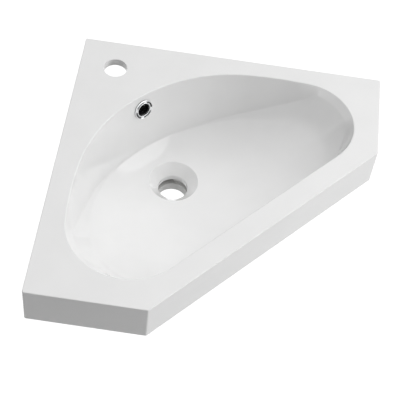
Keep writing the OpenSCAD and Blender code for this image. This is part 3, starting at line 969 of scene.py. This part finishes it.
def spine_solid(settings, material):
    slab, bowl, outlet = settings.slab, settings.bowl, settings.outlet
    thick, back, run = seat_run(settings)
    reach, top = overflow_place(settings)[0], slab.deck_t / 2
    deep = bowl.depth - bowl.foot_rise
    line = [(back(top), -top), *[tuple(p) for p in run[1:]], (outlet.reach, -bowl.depth),
            (reach + thick, -deep), (reach, -top)]
    return upright("spine", line, settings.duct.width, material)


class BASIN_OT_casting(Operator):
    """Builds the cast body: deck, apron, bowl, outlet seat and the unglazed underside"""
    bl_idname = "basin.casting"
    bl_label = "Casting"

    def execute(self, context):
        settings = context.scene.basin
        skin, raw = glaze_paint(settings.finish), casting_paint(settings.finish)
        body = slab_solid(settings, skin, raw)
        shell = bowl_solid("shell", settings, shell_rings(settings), raw)
        bowl = bowl_solid("bowl", settings, bowl_rings(settings), skin)
        steps = [("UNION", shell), ("UNION", spine_solid(settings, raw)),
                 ("UNION", boss_solid(settings, raw)), ("DIFFERENCE", bowl),
                 ("DIFFERENCE", overflow_cutter(settings, skin)),
                 ("DIFFERENCE", tap_cutter(settings, skin))]
        steps += [("DIFFERENCE", cutter) for cutter in fixing_cutters(settings, raw)]
        combined(body, steps)
        finished(body)
        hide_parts("basin_body")
        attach(body, "root")
        return {"FINISHED"}


class BASIN_OT_duct(Operator):
    """Builds the moulded duct behind the bowl, with its collar round the outlet"""
    bl_idname = "basin.duct"
    bl_label = "Overflow duct"

    def execute(self, context):
        settings = context.scene.basin
        duct, outlet = settings.duct, settings.outlet
        paint = duct_paint(settings.finish)
        run = seat_run(settings)[2]
        top = run[0] - Vector((0, FIT_GAP))
        outer = [top] + run[1:]
        inner = [top - Vector((0, duct.wall))] + run[1:]
        body = upright("duct", [tuple(p) for p in outer + moved_run(outer, duct.depth)[::-1]],
                       duct.width, paint, duct.edge_r)
        low = run[3].y - duct.chamber_h - duct.throat_h
        r, e = duct.collar_r, duct.edge_r
        collar = [(0, low), *[(r - i, low + d) for i, d in quarter(e, 0, 90, 5)],
                  *[(r - i, run[3].y - d) for i, d in quarter(e / 2, 90, 0, 4)], (0, run[3].y)]
        channel = upright("channel", [tuple(p) for p in moved_run(inner, -OVER)
                                      + moved_run(inner, duct.depth - duct.wall)[::-1]],
                          duct.width - 2 * duct.wall, paint)
        chamber_low = run[3].y - duct.chamber_h
        b, s = outlet.bore_r, e / 3
        chamber = [(0, chamber_low), (duct.chamber_r - s, chamber_low),
                   (duct.chamber_r, chamber_low + s), (duct.chamber_r, run[3].y + OVER), (0, run[3].y + OVER)]
        bore = [(0, low - OVER), (b + e / 2 + OVER, low - OVER), (b + e / 2, low), (b, low + e / 2),
                *[(b + i, chamber_low - d) for i, d in quarter(s, 90, 10, 4)],
                (b + s + OVER, chamber_low + OVER), (0, chamber_low + OVER)]
        place = outlet_place(settings)
        combined(body, [("UNION", turned("collar", collar, paint, place, 128)),
                        ("DIFFERENCE", channel),
                        ("DIFFERENCE", turned("chamber", chamber, paint, place, 128)),
                        ("DIFFERENCE", turned("throat", bore, paint, place, 96))])
        body.name = "overflow_channel"
        finished(body)
        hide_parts("overflow_duct")
        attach(body, "root")
        return {"FINISHED"}


class BASIN_OT_ring(Operator):
    """Builds the chrome overflow ring with its curved windows and its barrel"""
    bl_idname = "basin.ring"
    bl_label = "Overflow ring"

    def execute(self, context):
        settings = context.scene.basin
        over = settings.overflow
        paint = chrome_paint(settings.finish)
        barrel = over.throat_r + over.barrel_t
        inner, outer = barrel + FIT_GAP, over.flange_r - (over.flange_r - barrel) * over.rim_share
        t, r = over.flange_t, over.flange_r
        if outer + 0.0001 >= r - t * 0.5:
            raise ValueError("The rim share leaves no room for the rounded edge of the flange")
        base = over.seal_t
        profile = [(over.throat_r, -over.barrel_h), (barrel - 0.0002, -over.barrel_h),
                   (barrel, -over.barrel_h + 0.0002), (barrel, -0.0001), (barrel + 0.0001, 0),
                   (r - 0.0004, 0), (r - 0.0001, 0.0001), (r, 0.0004), (r, t * 0.5)]
        profile += [(r - i, t - d) for i, d in quarter(t * 0.5, 80, 0, 6)]
        profile += [(outer + 0.0001, t), (outer - 0.0001, t * 0.93), (outer - 0.0003, t * 0.8),
                    (inner + 0.0003, t * 0.8), (inner + 0.0001, t * 0.9),
                    (inner - 0.0002, t * 0.98), (inner - 0.0005, t)]
        profile += [(over.throat_r + i, t - d) for i, d in quarter(0.0004, 0, 90, 4)]
        ring = turned("ring", [(a, b + base) for a, b in profile], paint, closed=True, steps=144)
        ring.name = "overflow_trim"
        # one window cutter, repeated round the ring by a node tree that also makes the cuts
        window, e = [], 24
        levels = (base - OVER, base + t + OVER)
        for k in range(e + 1):
            turn = over.window_angle * (k / e - 0.5)
            for reach in (inner, outer):
                for level in levels:
                    window.append((reach * math.cos(turn), reach * math.sin(turn), level))
        faces = [(0, 1, 3, 2), (4 * e, 4 * e + 2, 4 * e + 3, 4 * e + 1)]
        for k in range(e):
            p, q = 4 * k, 4 * k + 4
            faces += [(p, q, q + 1, p + 1), (p + 2, p + 3, q + 3, q + 2), (p, p + 2, q + 2, q),
                      (p + 1, q + 1, q + 3, p + 3)]
        cutter = points_out(new_object("window", window, faces))
        tree = Tree("Windows", {"Window": cutter, "Windows": over.windows,
                                "Turn": math.pi + over.window_turn, "Material": paint})
        spots = tree.node("GeometryNodeMeshLine", {"Count": tree["Windows"], "Offset": (0, 0, 0)})
        turn = tree.field("GeometryNodeInputIndex") * (2 * math.pi) / tree["Windows"] + tree["Turn"]
        shape = tree.node("GeometryNodeObjectInfo", {"Object": tree["Window"]})
        cutters = tree.node("GeometryNodeInstanceOnPoints", {
            "Points": spots.outputs[0], "Instance": shape.outputs["Geometry"],
            "Rotation": tree.place(0, 0, turn)})
        cut = tree.node("GeometryNodeMeshBoolean", operation="DIFFERENCE", solver="MANIFOLD")
        feed(tree.group, cut.inputs["Mesh 1"], tree["Geometry"])
        real = tree.node("GeometryNodeRealizeInstances", {"Geometry": cutters.outputs[0]})
        feed(tree.group, cut.inputs["Mesh 2"], real.outputs[0])
        tree.close(Field(tree.group, cut.outputs[0]))
        tree.run(ring)
        remove(cutter)
        put_at(ring, overflow_place(settings)[2])
        finished(ring, 40)
        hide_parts("overflow_ring")
        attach(ring, "root")
        return {"FINISHED"}


class BASIN_OT_sleeve(Operator):
    """Builds the black sleeve inside the ring, with its soft ribs"""
    bl_idname = "basin.sleeve"
    bl_label = "Overflow sleeve"

    def execute(self, context):
        settings = context.scene.basin
        over = settings.overflow
        paint = sleeve_paint(settings.finish)
        outer = over.throat_r - FIT_GAP / 3
        inner = outer - over.sleeve_t
        low, high, e = over.seal_t - over.sleeve_h, over.seal_t, 0.00015
        tube = [(inner, low + e), (inner + e, low), (outer - e, low), (outer, low + e),
                (outer, high - e), (outer - e, high), (inner + 2 * e, high), (inner, high - 2 * e)]
        sleeve = turned("sleeve", tube, paint, closed=True)
        sleeve.name = "overflow_liner"
        pitch = (over.sleeve_h - over.barrel_h - FIT_GAP) / over.ribs
        tip, root = over.hole_r - FIT_GAP, outer - over.sleeve_t / 2
        rib = turned("rib", [(root, 0), (tip - 0.0004, 0), (tip - 0.0001, pitch * 0.08),
                             (tip, pitch * 0.2), (tip - 0.0005, pitch * 0.4),
                             (tip - 0.0012, pitch * 0.5), (root, pitch * 0.5)], paint, closed=True)
        tree = Tree("Ribs", {"Rib": rib, "Ribs": over.ribs, "Pitch": pitch, "First": low,
                             "Material": paint})
        spots = tree.node("GeometryNodeMeshLine", {
            "Count": tree["Ribs"], "Start Location": tree.place(0, 0, tree["First"]),
            "Offset": tree.place(0, 0, tree["Pitch"])})
        shape = tree.node("GeometryNodeObjectInfo", {"Object": tree["Rib"]})
        ribs = tree.node("GeometryNodeInstanceOnPoints", {
            "Points": spots.outputs[0], "Instance": shape.outputs["Geometry"]})
        both = tree.node("GeometryNodeMeshBoolean", operation="UNION", solver="MANIFOLD")
        real = tree.node("GeometryNodeRealizeInstances", {"Geometry": ribs.outputs[0]})
        tree.group.links.new(real.outputs[0], both.inputs["Mesh 2"])
        tree.group.links.new(tree["Geometry"].socket, both.inputs["Mesh 2"])
        tree.close(Field(tree.group, both.outputs[0]))
        tree.run(sleeve)
        remove(rib)
        put_at(sleeve, overflow_place(settings)[2])
        finished(sleeve, 40)
        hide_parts("overflow_sleeve")
        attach(sleeve, "root")
        return {"FINISHED"}


class BASIN_OT_seal(Operator):
    """Builds the soft washer between the ring and the wall of the bowl; its near-black edge under the flange
    is also painted shade, the thin shadow line round the ring
    """
    bl_idname = "basin.seal"
    bl_label = "Overflow seal"

    def execute(self, context):
        settings = context.scene.basin
        over = settings.overflow
        inner, outer, t, e = over.hole_r + FIT_GAP, over.flange_r - FIT_GAP, over.seal_t, 0.0002
        profile = [(inner, e), (inner + e, 0), (outer - e, 0), (outer, e), (outer + 0.0001, t / 2),
                   (outer, t - e), (outer - e, t), (inner + e, t), (inner, t - e)]
        seal = turned("overflow_washer", profile, seal_paint(settings.finish),
                      overflow_place(settings)[2], closed=True)
        finished(seal, 50)
        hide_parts("overflow_seal")
        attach(seal, "root")
        return {"FINISHED"}


class BASIN_OT_stage(Operator):
    """Builds the floor, the lamps and the camera"""
    bl_idname = "basin.stage"
    bl_label = "Stage"

    def execute(self, context):
        scene, stage = context.scene, context.scene.basin.stage
        half = FLOOR_HALF
        floor = new_object("floor", [(-half, -half, 0), (half, -half, 0), (half, half, 0),
                                     (-half, half, 0)], [(0, 1, 2, 3)])
        put_at(floor, Matrix.Translation((0, 0, -stage.floor_drop)))
        floor.data.materials.append(floor_paint())
        white_sky(scene, stage)
        lamp("key", KEY_AT, KEY_SIZE, stage.key_power)
        lamp("low", LOW_AT, LOW_SIZE, stage.low_power)
        camera = bpy.data.objects.new("camera", bpy.data.cameras.new("camera"))
        camera.data.lens = stage.lens
        scene.collection.objects.link(camera)
        right, down, ahead = (Vector(w) for w in CAMERA_AXES)
        camera.matrix_world = Matrix((
            (right.x, -down.x, -ahead.x, CAMERA_AT[0]), (right.y, -down.y, -ahead.y, CAMERA_AT[1]),
            (right.z, -down.z, -ahead.z, CAMERA_AT[2]), (0, 0, 0, 1)))
        scene.camera = camera
        scene.view_settings.view_transform = "Standard"
        return {"FINISHED"}


def seen_directly(tree):
    """One where a ray comes from the camera, a mirror or glass, else nought."""
    path = tree.nodes.new("ShaderNodeLightPath")
    total = combine(tree, "MAXIMUM", Field(tree, path.outputs["Is Camera Ray"]),
                    Field(tree, path.outputs["Is Glossy Ray"]))
    return combine(tree, "MAXIMUM", total, Field(tree, path.outputs["Is Transmission Ray"]))


def floor_paint():
    """A pale floor that takes shadows and is lifted to white where it is seen."""
    material = bpy.data.materials.new("Pale floor")
    material.use_nodes = True
    tree = material.node_tree
    tree.nodes.clear()
    diffuse = tree.nodes.new("ShaderNodeBsdfDiffuse")
    diffuse.inputs["Color"].default_value = (FLOOR_GREY, FLOOR_GREY, FLOOR_GREY, 1)
    lift = tree.nodes.new("ShaderNodeEmission")
    feed(tree, lift.inputs["Strength"], seen_directly(tree) * FLOOR_LIFT)
    both = tree.nodes.new("ShaderNodeAddShader")
    out = tree.nodes.new("ShaderNodeOutputMaterial")
    tree.links.new(diffuse.outputs[0], both.inputs[0])
    tree.links.new(lift.outputs[0], both.inputs[1])
    tree.links.new(both.outputs[0], out.inputs["Surface"])
    return material


def white_sky(scene, stage):
    """Soft light from above and from over the two walls; white where it is seen."""
    world = bpy.data.worlds.new("Sky")
    world.use_nodes = True
    scene.world = world
    tree = world.node_tree
    back = tree.nodes["Background"]
    back.inputs["Color"].default_value = (1, 1, 1, 1)
    towards = Field(tree, tree.nodes.new("ShaderNodeTexCoord").outputs["Generated"])
    total = 0
    for name, axis in SOFT_LIGHTS:
        share = combine(tree, "MAXIMUM", combine(tree, "DOT_PRODUCT", towards, axis), 0)
        share = share ** SOFT_LIGHT_POWER
        total = share * getattr(stage, name) + total
    seen = seen_directly(tree)
    feed(tree, back.inputs["Strength"], seen + total * (1 - seen))


def lamp(name, at, size, power):
    data = bpy.data.lights.new(name, "AREA")
    data.shape, data.size, data.energy = "DISK", size, power
    made = bpy.data.objects.new(name, data)
    bpy.context.scene.collection.objects.link(made)
    made.location = at
    made.rotation_euler = (LAMP_TARGET - at).to_track_quat("-Z", "Y").to_euler()
    made.visible_camera = False


class BASIN_PT_panel(Panel):
    bl_label = "Corner basin"
    bl_space_type = "VIEW_3D"
    bl_region_type = "UI"
    bl_category = "Basin"

    def draw(self, context):
        settings = context.scene.basin
        for piece in PIECES:
            self.layout.operator(piece.bl_idname)
        for name, group in BasinSettings.__annotations__.items():
            box = self.layout.box()
            box.label(text=name.capitalize())
            values = getattr(settings, name)
            for key in values.__annotations__:
                box.prop(values, key)


PIECES = (BASIN_OT_casting, BASIN_OT_duct, BASIN_OT_ring, BASIN_OT_sleeve, BASIN_OT_seal,
          BASIN_OT_stage)
CLASSES = (SlabSizes, BowlSizes, OutletSizes, OverflowSizes, DuctSizes, Finishes, StageSizes,
           BasinSettings, *PIECES, BASIN_PT_panel)


def register():
    for made in CLASSES:
        bpy.utils.register_class(made)
    bpy.types.Scene.basin = PointerProperty(type=BasinSettings)


def unregister():
    del bpy.types.Scene.basin
    for made in reversed(CLASSES):
        bpy.utils.unregister_class(made)


def main():
    register()
    bpy.ops.basin.casting()
    bpy.ops.basin.duct()
    bpy.ops.basin.ring()
    bpy.ops.basin.sleeve()
    bpy.ops.basin.seal()
    bpy.ops.basin.stage()


if __name__ == "__main__":
    main()
